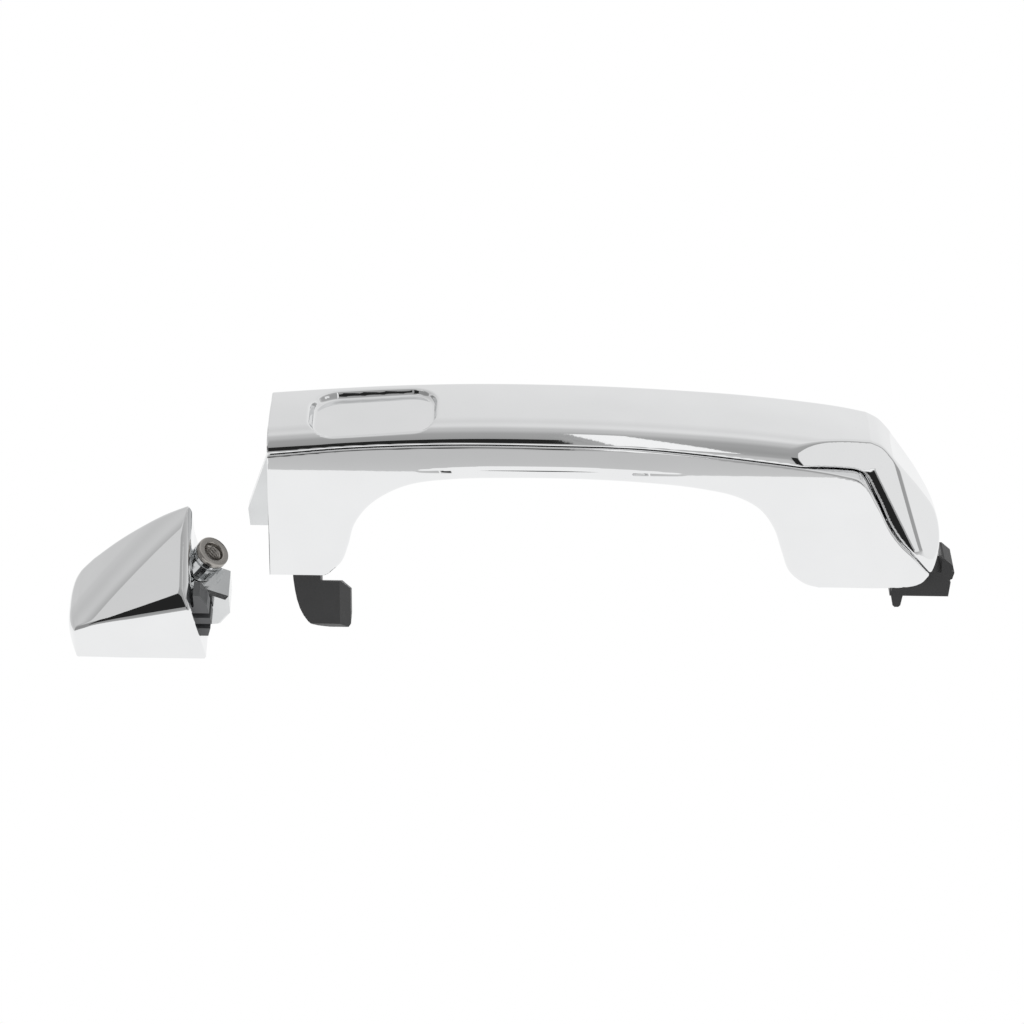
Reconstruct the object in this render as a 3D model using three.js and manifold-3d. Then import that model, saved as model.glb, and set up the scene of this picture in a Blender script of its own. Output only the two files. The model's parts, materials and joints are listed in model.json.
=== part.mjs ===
// Strap-type outside door handle with its separate rear cap. Millimetres.
// +X runs from the rear end of the grip to its front pivot and +Z points outward from the door.
// The outlines below put the rear end of the grip at x = 0, its near side at y = 0 and the door skin
// under the rear foot at z = 0. At the end the whole assembly is moved so that the origin is in the
// middle of the underside of the front hinge bracket's claw, the face that is fastened to the door.
import * as THREE from "three";
import * as BufferGeometryUtils from "three/addons/utils/BufferGeometryUtils.js";
import Module from "manifold-3d";

const wasm = await Module();
wasm.setup();

// ---- driving dimensions ----
const LENGTH = 201;
const WIDTH = 31;
const MID_Y = WIDTH / 2;
const REAR_HEIGHT = 46.6;
const WALL = 2.4;
const GAP = 0.3;
const EDGE_RADIUS = 4.2;
const REAR_FOOT = 17;
const FRONT_FOOT_START = 161.4;
const BASE_TRIM = 12;
const FRONT_DROP = 1.8;

const PIVOT_X = 179;
const PIVOT_Z = 8;
const PIN_RADIUS = 2;
const RUNNING_GAP = 0.08;
const KNUCKLE_RADIUS = 6;
const KNUCKLE_WIDTH = 9;
const ROUND = 28;

const CAP_ROLL = THREE.MathUtils.degToRad(20);
const CAP_PLACE = new THREE.Vector3(-20, -5.3, -26.9);
const CAP_WIDTH = 29;
const CAP_HEIGHT = 40.4;
const CAP_LENGTH = 41;

// ---- solids ----
function solidOf(geometry) {
  const bare = geometry.clone();
  bare.deleteAttribute("normal");
  bare.deleteAttribute("uv");
  const merged = BufferGeometryUtils.mergeVertices(bare, 1e-4);
  const vertProperties = new Float32Array(merged.attributes.position.array);
  const triVerts = new Uint32Array(merged.index.array);
  return new wasm.Manifold(new wasm.Mesh({ numProp: 3, vertProperties, triVerts }));
}

function geometryOf(solid) {
  const mesh = solid.getMesh();
  const geometry = new THREE.BufferGeometry();
  geometry.setAttribute("position", new THREE.BufferAttribute(new Float32Array(mesh.vertProperties), 3));
  geometry.setIndex(new THREE.BufferAttribute(new Uint32Array(mesh.triVerts), 1));
  geometry.computeVertexNormals();
  return geometry;
}

function combine(first, cuts = [], joins = []) {
  let solid = solidOf(first);
  for (const join of joins) {
    solid = solid.add(solidOf(join));
  }
  for (const cut of cuts) {
    solid = solid.subtract(solidOf(cut));
  }
  return geometryOf(solid);
}

function overlap(first, second) {
  return geometryOf(solidOf(first).intersect(solidOf(second)));
}

// ---- outlines and plain shapes ----
function smooth(points, count) {
  const knots = points.map(([u, v]) => new THREE.Vector3(u, v, 0));
  const curve = new THREE.CatmullRomCurve3(knots, false, "centripetal");
  return curve.getPoints(count).map((p) => [p.x, p.y]);
}

function shapeOf(points) {
  return new THREE.Shape(points.map(([u, v]) => new THREE.Vector2(u, v)));
}

// Extrudes an (x, z) outline from y0 to y1. bevel rounds every edge and inset shrinks the outline.
function alongY(points, y0, y1, bevel = 0, inset = 0, segments = 2) {
  const geometry = new THREE.ExtrudeGeometry(shapeOf(points), {
    depth: y1 - y0 - 2 * bevel,
    bevelEnabled: bevel > 0,
    bevelThickness: bevel,
    bevelSize: bevel,
    bevelOffset: -bevel - inset,
    bevelSegments: segments,
  });
  geometry.rotateX(Math.PI / 2);
  geometry.translate(0, y1 - bevel, 0);
  return geometry;
}

// Extrudes an (x, y) outline from z0 to z1.
function alongZ(points, z0, z1, inset = 0) {
  const bevel = inset > 0 ? GAP : 0;
  const geometry = new THREE.ExtrudeGeometry(shapeOf(points), {
    depth: z1 - z0 - 2 * bevel,
    bevelEnabled: inset > 0,
    bevelThickness: bevel,
    bevelSize: bevel,
    bevelOffset: -bevel - inset,
    bevelSegments: 1,
  });
  geometry.translate(0, 0, z0 + bevel);
  return geometry;
}

function box(low, high) {
  const size = high.map((value, i) => value - low[i]);
  const centre = high.map((value, i) => (value + low[i]) / 2);
  return new THREE.BoxGeometry(...size).translate(...centre);
}

function cylinderY(radius, y0, y1, x, z, sides = ROUND) {
  const geometry = new THREE.CylinderGeometry(radius, radius, y1 - y0, sides);
  return geometry.translate(x, (y0 + y1) / 2, z);
}

function cylinderZ(radius, z0, z1, x, y, sides = ROUND) {
  const geometry = new THREE.CylinderGeometry(radius, radius, z1 - z0, sides);
  geometry.rotateX(Math.PI / 2);
  return geometry.translate(x, y, (z0 + z1) / 2);
}

// The height of a polyline, given as [x, z] points with rising x, at one x.
function heightAt(points, x) {
  const next = points.findIndex((p) => p[0] >= x);
  if (next <= 0) {
    return points[next === 0 ? 0 : points.length - 1][1];
  }
  const [x0, z0] = points[next - 1];
  const [x1, z1] = points[next];
  return z0 + ((z1 - z0) * (x - x0)) / (x1 - x0);
}

// ---- the grip's side view and plan ----
// The outline runs on past the base and the rear end, where the body is trimmed to crisp edges.
const arch = smooth([
  [REAR_FOOT + 1.2, 0], [21.4, 3.4], [23.4, 9], [25.2, 16], [29, 22], [34.4, 26.6], [42, 30.2],
  [54, 32.1], [73, 32.8], [93, 32.7], [111, 31.8], [126, 30.2], [137.4, 27.6], [144.6, 23.4], [149.2, 16.8],
  [152, 8.6], [154.3, 2.4], [158, -1.2], [FRONT_FOOT_START, -3],
], 50);

const crown = smooth([
  [178.4, 42.8], [168, 44.8], [145, 47.6], [123, 49.2], [95, 50.4], [63, 50.6], [38, 49.7], [18, 48.3],
  [-6, REAR_HEIGHT - 0.4],
], 22);

const frontEnd = smooth([
  [190, -5], [196.6, -2], [199.8, 1.4], [LENGTH - 0.2, 6], [LENGTH - 0.5, 11], [198, 17], [193.8, 23.6], [189.2, 30],
  [185.6, 34.9], [182.2, 39.2], [178.4, 42.8],
], 24);

const sideView = [
  [-BASE_TRIM, -BASE_TRIM], [REAR_FOOT - 1, -BASE_TRIM], ...arch, [FRONT_FOOT_START + 2, -BASE_TRIM], [184, -BASE_TRIM],
  ...frontEnd.slice(0, -1), ...crown, [-BASE_TRIM, REAR_HEIGHT - 0.6],
];

const nearPlan = smooth([
  [150, 0], [176, 0.1], [187, 0.6], [193.4, 2.2], [198, 5.8], [200.4, 10.4], [LENGTH, MID_Y],
], 16);
const nearCurve = nearPlan.slice(0, -1);
const farCurve = nearCurve.map(([x, y]) => [x, WIDTH - y]).reverse();
const planView = [[0, 0], ...nearCurve, ...farCurve, [0, WIDTH]];

// The parting line between the two shells: along the side, then down the front corner to the foot.
const partingLine = [
  ...smooth([
    [-6, 40], [2, 40.6], [24, 42.8], [54, 44.2], [84, 44.2], [110, 43.6], [139, 40.8], [170, 36.2], [175.4, 34], [179.8, 25.4],
    [183.6, 18], [187.4, 12.6], [191.6, 8],
  ], 34),
  [LENGTH + 4, -12],
];

function gripBody(inset, radius) {
  const side = alongY(sideView, inset, WIDTH - inset, radius, inset);
  const trimmed = overlap(side, alongZ(planView, inset - FRONT_DROP, 3 * WIDTH, inset));
  return combine(trimmed, [box([-5, -5, -BASE_TRIM], [LENGTH / 2, WIDTH + 5, inset])]);
}

// ---- the pill-shaped sensor recess in the outer face ----
const RECESS_LENGTH = 38;
const RECESS_WIDTH = 26;
const RECESS_Y = MID_Y - 1.9;
const RECESS_DEPTH = 2.6;
const RECESS_X = 30.6;
const RECESS_TILT = -Math.atan2(3, 38);

function pill(length, width, radius) {
  const shape = new THREE.Shape();
  const x = length / 2 - radius;
  const y = width / 2 - radius;
  shape.absarc(x, y, radius, 0, Math.PI / 2);
  shape.absarc(-x, y, radius, Math.PI / 2, Math.PI);
  shape.absarc(-x, -y, radius, Math.PI, 1.5 * Math.PI);
  shape.absarc(x, -y, radius, 1.5 * Math.PI, 2 * Math.PI);
  return shape;
}

function onRecess(geometry, depth) {
  geometry.rotateY(RECESS_TILT);
  return geometry.translate(RECESS_X, RECESS_Y, heightAt([...crown].reverse(), RECESS_X) - depth);
}

function recessCut(grow) {
  const slope = 1.2;
  const depth = RECESS_DEPTH + grow;
  const shape = pill(RECESS_LENGTH + 2 * grow, RECESS_WIDTH + 2 * grow, 9);
  const geometry = new THREE.ExtrudeGeometry(shape, {
    depth: 4,
    bevelThickness: depth,
    bevelSize: slope,
    bevelOffset: -slope,
    bevelSegments: 1,
    curveSegments: 6,
  });
  return onRecess(geometry, 0);
}

// ---- grip shells ----
function gripShells() {
  const outside = combine(gripBody(0, EDGE_RADIUS), [recessCut(0)]);
  const inside = combine(gripBody(WALL, EDGE_RADIUS - 3), [recessCut(WALL)]);
  const frontOpening = overlap(
    alongZ(planView, -BASE_TRIM, WALL + 1, WALL),
    box([FRONT_FOOT_START - 1.4, 0, -BASE_TRIM], [LENGTH - 5, WIDTH, WALL + 1])
  );
  const footOpenings = [box([WALL, WALL, -1], [REAR_FOOT - 1.4, WIDTH - WALL, WALL + 1]), frontOpening];
  const hollow = combine(outside, [inside, ...footOpenings]);
  const above = [...partingLine, [LENGTH + 4, 80], [-6, 80]];
  const upper = alongY(above, -5, WIDTH + 5);
  const outer = overlap(hollow, upper.clone().translate(GAP / 3, 0, GAP / 2));
  const inner = combine(hollow, [upper.clone().translate(-GAP / 3, 0, -GAP / 2), tongueTab(GAP)]);
  return { outer, inner };
}

// ---- rear end tongue ----
const TONGUE_REACH = 8;

function tongueTab(grow) {
  return box([-1, 24.6 - grow, 8 - grow], [5.4 + grow, 27.6 + grow, 20 + grow]);
}

function rearEndTongue() {
  const fin = alongY([[-TONGUE_REACH + 0.5, 2.2], [-GAP, 2.2], [-GAP, 31], [-TONGUE_REACH, 8]], 25.6, 29.8);
  return combine(fin, [], [tongueTab(0)]);
}

// ---- carrier beam, inside the grip ----
const CARRIER_NEAR = 5.6;
const CARRIER_FAR = 23.4;
const CARRIER_DEPTH = 3.2;
const CARRIER_ENDS = 24;

function carrierBeam() {
  const lift = WALL + 1.1;
  const middle = arch.filter(([x]) => x > 33 && x < 139).map(([x, z]) => [x, z + lift]);
  const under = [
    [3.6, CARRIER_ENDS], [19, CARRIER_ENDS], [26, 29.2], ...middle, [146, 27], [152, CARRIER_ENDS], [177, CARRIER_ENDS],
  ];
  const over = under.map(([x, z]) => [x, z + CARRIER_DEPTH]).reverse();
  const beam = alongY([...under, ...over], CARRIER_NEAR, CARRIER_FAR);
  const ribs = [CARRIER_NEAR, CARRIER_FAR - 1.4].map((y) => {
    const rib = [[36, 35.4], [60, 37.2], [120, 35.8], [140, 31], [140, 36.4], [120, 39.8], [62, 41.6], [36, 38.6]];
    return alongY(rib, y, y + 1.4);
  });
  return combine(beam, [...hookScrewHoles(), ...yokeScrewHoles()], ribs);
}

// ---- screws: a pan head below and a shank pointing up ----
const SCREW_RADIUS = 1.5;
const HEAD_RADIUS = 2.7;
const HEAD_HEIGHT = 2;

function screw(shank) {
  const tip = 1.2;
  const profile = [
    [0, 0.9], [1.1, 0.9], [1.1, 0], [HEAD_RADIUS - 0.5, 0], [HEAD_RADIUS, 0.6], [HEAD_RADIUS, HEAD_HEIGHT],
    [SCREW_RADIUS, HEAD_HEIGHT], [SCREW_RADIUS, HEAD_HEIGHT + shank - tip], [0.5, HEAD_HEIGHT + shank], [0, HEAD_HEIGHT + shank],
  ];
  const lathe = new THREE.LatheGeometry(profile.map(([r, h]) => new THREE.Vector2(r, h)), 16);
  return lathe.rotateX(Math.PI / 2);
}

const HOOK_SCREWS = { x: 11, ys: [8.2, 21.8], base: 6, shank: 17 };
const YOKE_SCREWS = { x: 170, ys: [10.4, 19.6], base: 15.4, shank: 9 };

function screwHoles({ x, ys }, z0, z1) {
  return ys.map((y) => cylinderZ(SCREW_RADIUS + GAP, z0, z1, x, y, 16));
}

function hookScrewHoles() {
  return screwHoles(HOOK_SCREWS, CARRIER_ENDS - 1, CARRIER_ENDS + CARRIER_DEPTH + 1);
}

function yokeScrewHoles() {
  return screwHoles(YOKE_SCREWS, CARRIER_ENDS - 1, CARRIER_ENDS + CARRIER_DEPTH + 1);
}

// ---- rear pull hook ----
const HOOK_NEAR = 8.4;
const HOOK_FAR = 18.6;
const HOOK_TOP = -6.8;
const HOOK_BOTTOM = -24.8;
const HOOK_END = 23.4;

function rearPullHook() {
  const stemLeft = smooth([[6, 4], [6.2, -3], [6.8, -10], [8.2, -16.6], [10.6, -21.2], [13.4, -23.6], [17, HOOK_BOTTOM]], 12);
  const profile = [[14.6, 4], ...stemLeft, [HOOK_END - 0.8, HOOK_BOTTOM], [HOOK_END, -24], [HOOK_END, HOOK_TOP], [14.6, HOOK_TOP]];
  const stem = alongY(profile, HOOK_NEAR, HOOK_FAR);
  const nearCorner = alongZ([
    [HOOK_END - 4, HOOK_NEAR - 1], [HOOK_END + 1, HOOK_NEAR - 1], [HOOK_END + 1, HOOK_NEAR + 4.6],
  ], HOOK_BOTTOM - 1, -5);
  const bottomEdge = new THREE.BoxGeometry(40, 4, 4).rotateX(Math.PI / 4).translate(16, HOOK_NEAR, HOOK_BOTTOM);
  const topSlopes = [[14.6, 0], [HOOK_END - 2.8, 40]].map(([x, fall]) => {
    const cut = new THREE.BoxGeometry(12, 30, 10).translate(6, 15, 5);
    cut.rotateY(THREE.MathUtils.degToRad(fall)).rotateX(THREE.MathUtils.degToRad(-30));
    return cut.translate(x, HOOK_NEAR, HOOK_TOP);
  });
  const flange = box([WALL + GAP, WALL + GAP, 1], [REAR_FOOT - 1.4 - GAP, WIDTH - WALL - GAP, 3]);
  const root = box([6, 5.4, 3], [16, WIDTH - 6.8, CARRIER_ENDS - GAP]);
  const counterbores = HOOK_SCREWS.ys.map((y) => {
    return cylinderZ(HEAD_RADIUS + GAP, 0, HOOK_SCREWS.base + HEAD_HEIGHT + GAP, HOOK_SCREWS.x, y, 16);
  });
  const body = combine(root, [...screwHoles(HOOK_SCREWS, 0, CARRIER_ENDS + 1), ...counterbores], [flange]);
  return combine(body, [], [combine(stem, [nearCorner, bottomEdge, ...topSlopes])]);
}

// ---- front pivot ----
const EAR_THICKNESS = 3;
const EAR_NEAR = 7;
const EAR_FAR = WIDTH - EAR_NEAR - EAR_THICKNESS;

function frontPivotYoke() {
  const ear = [
    [PIVOT_X - 5.6, 18], [PIVOT_X - 4.6, 12], [PIVOT_X - 4.6, 5], [PIVOT_X - 2.4, 2.8], [PIVOT_X + 2.4, 2.8], [PIVOT_X + 4.6, 5],
    [PIVOT_X + 4.6, 22], [PIVOT_X - 5.6, 22],
  ];
  const ears = [EAR_NEAR, EAR_FAR].map((y) => alongY(ear, y, y + EAR_THICKNESS));
  const bridge = box([164, EAR_NEAR + 1, 18], [PIVOT_X + 3, WIDTH - EAR_NEAR - 1, CARRIER_ENDS - GAP]);
  const pinHole = cylinderY(PIN_RADIUS + GAP, 0, WIDTH, PIVOT_X, PIVOT_Z);
  return combine(bridge, [pinHole, ...screwHoles(YOKE_SCREWS, 17, CARRIER_ENDS)], ears);
}

function pivotPin() {
  return cylinderY(PIN_RADIUS, EAR_NEAR - 0.4, WIDTH - EAR_NEAR + 0.4, PIVOT_X, PIVOT_Z);
}

const BUSH_OUTSIDE = PIN_RADIUS + 1.4;
const BUSH_FLANGE = 0.5;
const KNUCKLE_NEAR = MID_Y - KNUCKLE_WIDTH / 2;

// A flanged bush, its flange outward at y = 0 and its sleeve towards +y.
function pivotBush() {
  const inner = PIN_RADIUS + RUNNING_GAP;
  const outer = BUSH_OUTSIDE;
  const rim = outer + 1;
  const reach = KNUCKLE_WIDTH / 2 - GAP;
  const profile = [[inner, 0], [rim, 0], [rim, BUSH_FLANGE], [outer, BUSH_FLANGE], [outer, reach], [inner, reach], [inner, 0]];
  return new THREE.LatheGeometry(profile.map(([r, h]) => new THREE.Vector2(r, h)), ROUND);
}

const CLAW_TOP = -6.2;
const CLAW_BOTTOM = -14.6;
const CLAW_NEAR = 17.2;

function frontHingeBracket() {
  const side = BUSH_FLANGE + GAP;
  const far = KNUCKLE_NEAR + KNUCKLE_WIDTH - side;
  const knuckle = cylinderY(KNUCKLE_RADIUS, KNUCKLE_NEAR + side, far, PIVOT_X, PIVOT_Z);
  const neck = alongY([
    [PIVOT_X - 3, 9], [PIVOT_X - 2, 2.4], [186.8, -5], [186.8, CLAW_BOTTOM + 4], [197, CLAW_BOTTOM + 4], [197, CLAW_TOP],
    [191.6, CLAW_TOP], [188.6, -1.4], [PIVOT_X + 5.4, 6.4], [PIVOT_X + 5, 9],
  ], 13, far);
  const claw = alongY([
    [186.8, CLAW_BOTTOM], [204.6, CLAW_BOTTOM], [205, -9.6], [204.3, -9], [205.4, -8.4], [205.9, -6.2], [205, -5.6],
    [205.6, -5], [205.3, -3.8], [202.6, -1.4], [201.9, -1.4], [201.9, CLAW_TOP], [186.8, CLAW_TOP],
  ], CLAW_NEAR, CLAW_NEAR + 10);
  const pegTip = CLAW_BOTTOM - 4;
  const peg = alongY([
    [187.2, -11], [187.2, CLAW_BOTTOM], [187.9, pegTip + 0.6], [188.5, pegTip], [189.7, pegTip], [190.3, pegTip + 0.6],
    [190.8, CLAW_BOTTOM], [190.8, -11],
  ], CLAW_NEAR, CLAW_NEAR + 3.4);
  const bore = cylinderY(BUSH_OUTSIDE + GAP, 0, WIDTH, PIVOT_X, PIVOT_Z);
  return combine(knuckle, [bore], [neck, claw, peg]);
}

// ---- electronics: lock sensor, antenna, lead and connector ----
function sensorPlate(length, width, thickness, depth, shift) {
  const geometry = new THREE.BoxGeometry(length, width, thickness).translate(shift, 0, 0);
  return onRecess(geometry, depth);
}

const ANTENNA = { x0: 66, x1: 122, z: 43.6, width: 8, height: 2.4 };

function antennaSleeve(x0, x1, clearance, wall) {
  const grow = (extra) => {
    const y = ANTENNA.width / 2 + extra;
    const z = ANTENNA.height / 2 + extra;
    const over = extra === clearance ? 1 : 0;
    return box([x0 - over, MID_Y - y, ANTENNA.z - z], [x1 + over, MID_Y + y, ANTENNA.z + z]);
  };
  return combine(grow(clearance + wall), [grow(clearance)]);
}

function antennaCore() {
  const { x0, x1, z, width, height } = ANTENNA;
  return box([x0, MID_Y - width / 2, z - height / 2], [x1, MID_Y + width / 2, z + height / 2]);
}

function antennaBobbin() {
  const sleeve = antennaSleeve(72, 106, GAP, 0.5);
  const flanges = [72, 104.5].map((x) => antennaSleeve(x, x + 1.5, GAP, 1.3));
  return combine(sleeve, [], flanges);
}

function antennaWinding() {
  return antennaSleeve(74, 104, 2 * GAP + 0.5, 0.6);
}

const LEAD_RADIUS = 0.9;

function lead() {
  const route = [
    [57, 20, 42.6], [62, 22.6, 42.8], [69, 25.2, 42.8], [95, 25.4, 42.6], [120, 25.4, 41], [136, 25.4, 37.4], [147, 25.3, 31],
    [154, 25.2, 24], [158.4, 23.6, 19.4], [160.8, 19.6, 18.4], [162.2, 16, 17.6], [162.6, 15, 16],
  ];
  const curve = new THREE.CatmullRomCurve3(route.map((p) => new THREE.Vector3(...p)), false, "centripetal");
  const section = new THREE.Shape();
  section.absarc(0, 0, LEAD_RADIUS, 0, 2 * Math.PI);
  return new THREE.ExtrudeGeometry(section, { steps: 44, extrudePath: curve, curveSegments: 4, bevelEnabled: false });
}

function connectorHeader() {
  const body = box([158.6, 10.6, 4], [172.4, 19.4, 15]);
  const socket = box([160.4, 12.2, 3], [170.6, 17.8, 12.6]);
  return combine(body, [socket]);
}

// ---- rear cap, in its own upright frame: near bottom edge on y = 0, z = 0, open end towards +X ----
const capSide = [
  [-37, -BASE_TRIM],
  ...smooth([[-38.6, -2], [-40.3, 3.6], [-CAP_LENGTH, 8.4], [-40, 12.6], [-37.6, 15]], 6),
  ...smooth([[-37.6, 15], [-28, 22.6], [-16, 31.5], [-3.2, CAP_HEIGHT]], 6).slice(1),
  [-3, 27], [-1.4, 14.5], [0.4, 2], [2, -BASE_TRIM],
];

const capPlan = [
  ...smooth([[-38, 0.4], [-40, 4], [-CAP_LENGTH, 10], [-40.6, 16.4], [-38.4, 22], [-34, 24.8]], 9),
  ...smooth([[-34, 24.8], [-25, 27.2], [-13, 28.6], [4, CAP_WIDTH]], 6).slice(1),
  [4, 0], [-20, 0],
];

// The leaning outer panel, and the narrow facet between it and the near side.
const CAP_PANEL = [[-39.5, 0, 12.5], [-3, 5.2, 27.5], [-3, CAP_WIDTH, CAP_HEIGHT]];
const CAP_FACET = [[-39.5, 0, 12.5], [-3, 5.2, 27.5], [-3, 0, 22.8]];

// Cuts away what lies above the plane through three points, lowered by an inset.
function trimAbove(geometry, corners, inset) {
  const [a, b, c] = corners.map((corner) => new THREE.Vector3(...corner));
  const plane = new THREE.Plane().setFromCoplanarPoints(a, b, c);
  if (plane.normal.z > 0) plane.negate();
  return geometryOf(solidOf(geometry).trimByPlane(plane.normal.toArray(), inset - plane.constant));
}

function trimCap(geometry, inset) {
  return trimAbove(trimAbove(geometry, CAP_PANEL, inset), CAP_FACET, inset);
}

function capShell() {
  const hull = overlap(alongY(capSide, 0, CAP_WIDTH, 1.2), alongZ(capPlan, 0, CAP_HEIGHT + 5));
  const insidePlan = alongZ(capPlan, -2, CAP_HEIGHT + 5, WALL);
  const core = overlap(alongY(capSide, WALL, CAP_WIDTH - WALL, 0.6, WALL - 0.2), insidePlan);
  const mouthSide = [[-30, -2], [4, -2], [4, CAP_HEIGHT - WALL - 1.6], [-8.5, 33], [-30, 16.4]];
  const mouth = overlap(alongY(mouthSide, WALL, CAP_WIDTH - WALL), insidePlan);
  return combine(trimCap(hull, 0), [trimCap(core, WALL), trimCap(mouth, WALL)]);
}

// The insert's axis lies in a plane along X and Z, and leans from +Z towards +X. A profile on it runs
// from its outer end down the outside, so it is turned round for the lathe, which winds upwards.
const INSERT_LEAN = THREE.MathUtils.degToRad(33);
const INSERT_PLACE = new THREE.Vector3(3.4, 18, 29.4);

function onInsertAxis(profile, sides) {
  const upward = [...profile].reverse();
  const lathe = new THREE.LatheGeometry(upward.map(([r, h]) => new THREE.Vector2(r, h)), sides);
  lathe.rotateX(Math.PI / 2);
  lathe.rotateY(INSERT_LEAN);
  return lathe.translate(...INSERT_PLACE.toArray());
}

const INSERT = { hole: 2.5, sleeve: 3.3, flange: 5, thickness: 1.4, reach: 9 };

function threadedInsert() {
  const { hole, sleeve, flange, thickness, reach } = INSERT;
  return onInsertAxis([
    [hole, 0], [hole + 0.5, 0.4], [flange - 0.4, 0.4], [flange, 0], [flange, -thickness], [sleeve, -thickness], [sleeve, -reach],
    [hole, -reach], [hole, 0],
  ], 32);
}

function capBoss() {
  const bore = INSERT.sleeve + GAP;
  const outside = bore + 1.3;
  const top = -INSERT.thickness - GAP;
  return onInsertAxis([
    [bore, top], [outside, top], [outside, top - 1], [outside - 0.6, top - 1], [outside - 0.6, top - 1.8], [outside, top - 1.8],
    [outside, -INSERT.reach], [bore, -INSERT.reach], [bore, top],
  ], 28);
}

function capBracket() {
  const stem = alongY([[-22, 8], [-22, 16], [-6, 22], [0.6, 22], [7.8, 18.4], [7.8, 10.4], [4.6, 5.4], [-6, 4]], 9, 20.6, 1, 0, 1);
  const shelf = alongY([[-26, 6], [-26, 11], [-3, 11], [1, 9], [1, 6]], 9.2, 23.6, 0.6, 0, 1);
  const cradle = cradleSolid();
  const keepOut = onInsertAxis([[0, 1], [4.4 + 3, 1], [4.4 + 3, -INSERT.reach - GAP], [0, -INSERT.reach - GAP]], 24);
  const screwHole = cylinderZ(SCREW_RADIUS + GAP, 0, 30, CAP_SCREW.x, CAP_SCREW.y, 16);
  return combine(stem, [keepOut, screwHole], [shelf, cradle]);
}

function cradleSolid() {
  return onInsertAxis([[0, -INSERT.reach - 0.4], [5, -INSERT.reach - 0.4], [5.6, -INSERT.reach - 6], [0, -INSERT.reach - 6]], 20);
}

function capClipBlock() {
  const profile = [
    [-14, 8], [-14, 14], [-9, 17], [-2.6, 21], [-1.9, 22], [-1.9, 27], [0, 27], [2, 22.5], [3, 14], [1.6, 8],
  ];
  const slots = [16.6, 11.6].map((z) => box([-2.4, 0, z], [8, 12, z + 2.2]));
  const window = box([-11, 0, 10.5], [-6, 12, 14.5]);
  return combine(alongY(profile, 3, 8.4), [...slots, window]);
}

const CAP_SCREW = { x: -18, y: 15.3 };

function capBracketScrew() {
  return screw(9).translate(CAP_SCREW.x, CAP_SCREW.y, 3.6);
}

// ---- finishes ----
const chrome = { color: 0xe4e5e6, roughness: 0.06, metalness: 1 };
const satinPlate = { color: 0xd2d3d4, roughness: 0.22, metalness: 1 };
const blackNylon = { color: 0x2b2b2d, roughness: 0.55, metalness: 0 };
const greyPlastic = { color: 0x56585b, roughness: 0.5, metalness: 0 };
const steel = { color: 0xa9abad, roughness: 0.3, metalness: 1 };
const nickel = { color: 0xa39e97, roughness: 0.35, metalness: 1 };
const acetal = { color: 0xe8e4d8, roughness: 0.45, metalness: 0 };
const copper = { color: 0xb87333, roughness: 0.3, metalness: 1 };
const boardGreen = { color: 0x1f5c3a, roughness: 0.45, metalness: 0 };
const ferrite = { color: 0x3a3836, roughness: 0.7, metalness: 0 };
const leadSleeve = { color: 0x1b1b1c, roughness: 0.6, metalness: 0 };

// ---- the assembly ----
function piece(parent, name, geometry, finish) {
  const mesh = new THREE.Mesh(geometry, new THREE.MeshStandardMaterial(finish));
  mesh.name = name;
  parent.add(mesh);
  return mesh;
}

const SEAT = new THREE.Vector3(196.4, CLAW_NEAR + 5, CLAW_BOTTOM);

const group = new THREE.Group();
const assembly = new THREE.Group();
assembly.position.copy(SEAT).negate();
group.add(assembly);

const grip = new THREE.Group();
assembly.add(grip);
const shells = gripShells();
piece(grip, "outer_shell", shells.outer, chrome);
piece(grip, "inner_shell", shells.inner, chrome);
piece(grip, "rear_end_tongue", rearEndTongue(), satinPlate);
piece(grip, "carrier_beam", carrierBeam(), blackNylon);
piece(grip, "rear_pull_hook", rearPullHook(), blackNylon);
piece(grip, "front_pivot_yoke", frontPivotYoke(), blackNylon);
piece(grip, "pivot_pin", pivotPin(), steel);
piece(grip, "sensor_electrode", sensorPlate(26, 12, 0.5, RECESS_DEPTH + WALL + 0.9, 0), copper);
piece(grip, "sensor_circuit_board", sensorPlate(44, 17, 1.2, RECESS_DEPTH + WALL + 2.2, 3.4), boardGreen);
piece(grip, "sensor_chip", sensorPlate(9, 9, 1.6, RECESS_DEPTH + WALL + 4, -4), ferrite);
piece(grip, "antenna_core", antennaCore(), ferrite);
piece(grip, "antenna_bobbin", antennaBobbin(), blackNylon);
piece(grip, "antenna_winding", antennaWinding(), copper);
piece(grip, "lead", lead(), leadSleeve);
piece(grip, "connector_header", connectorHeader(), blackNylon);
for (const [i, side] of ["near", "far"].entries()) {
  const hookScrew = piece(grip, `hook_screw_${side}`, screw(HOOK_SCREWS.shank), steel);
  hookScrew.position.set(HOOK_SCREWS.x, HOOK_SCREWS.ys[i], HOOK_SCREWS.base);
  const yokeScrew = piece(grip, `yoke_screw_${side}`, screw(YOKE_SCREWS.shank), steel);
  yokeScrew.position.set(YOKE_SCREWS.x, YOKE_SCREWS.ys[i], YOKE_SCREWS.base);
}

const doorSide = new THREE.Group();
assembly.add(doorSide);
piece(doorSide, "front_hinge_bracket", frontHingeBracket(), blackNylon);
const nearBush = piece(doorSide, "pivot_bush_near", pivotBush(), acetal);
nearBush.position.set(PIVOT_X, KNUCKLE_NEAR, PIVOT_Z);
const farBush = piece(doorSide, "pivot_bush_far", pivotBush(), acetal);
farBush.position.set(PIVOT_X, KNUCKLE_NEAR + KNUCKLE_WIDTH, PIVOT_Z);
farBush.rotation.x = Math.PI;

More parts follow.
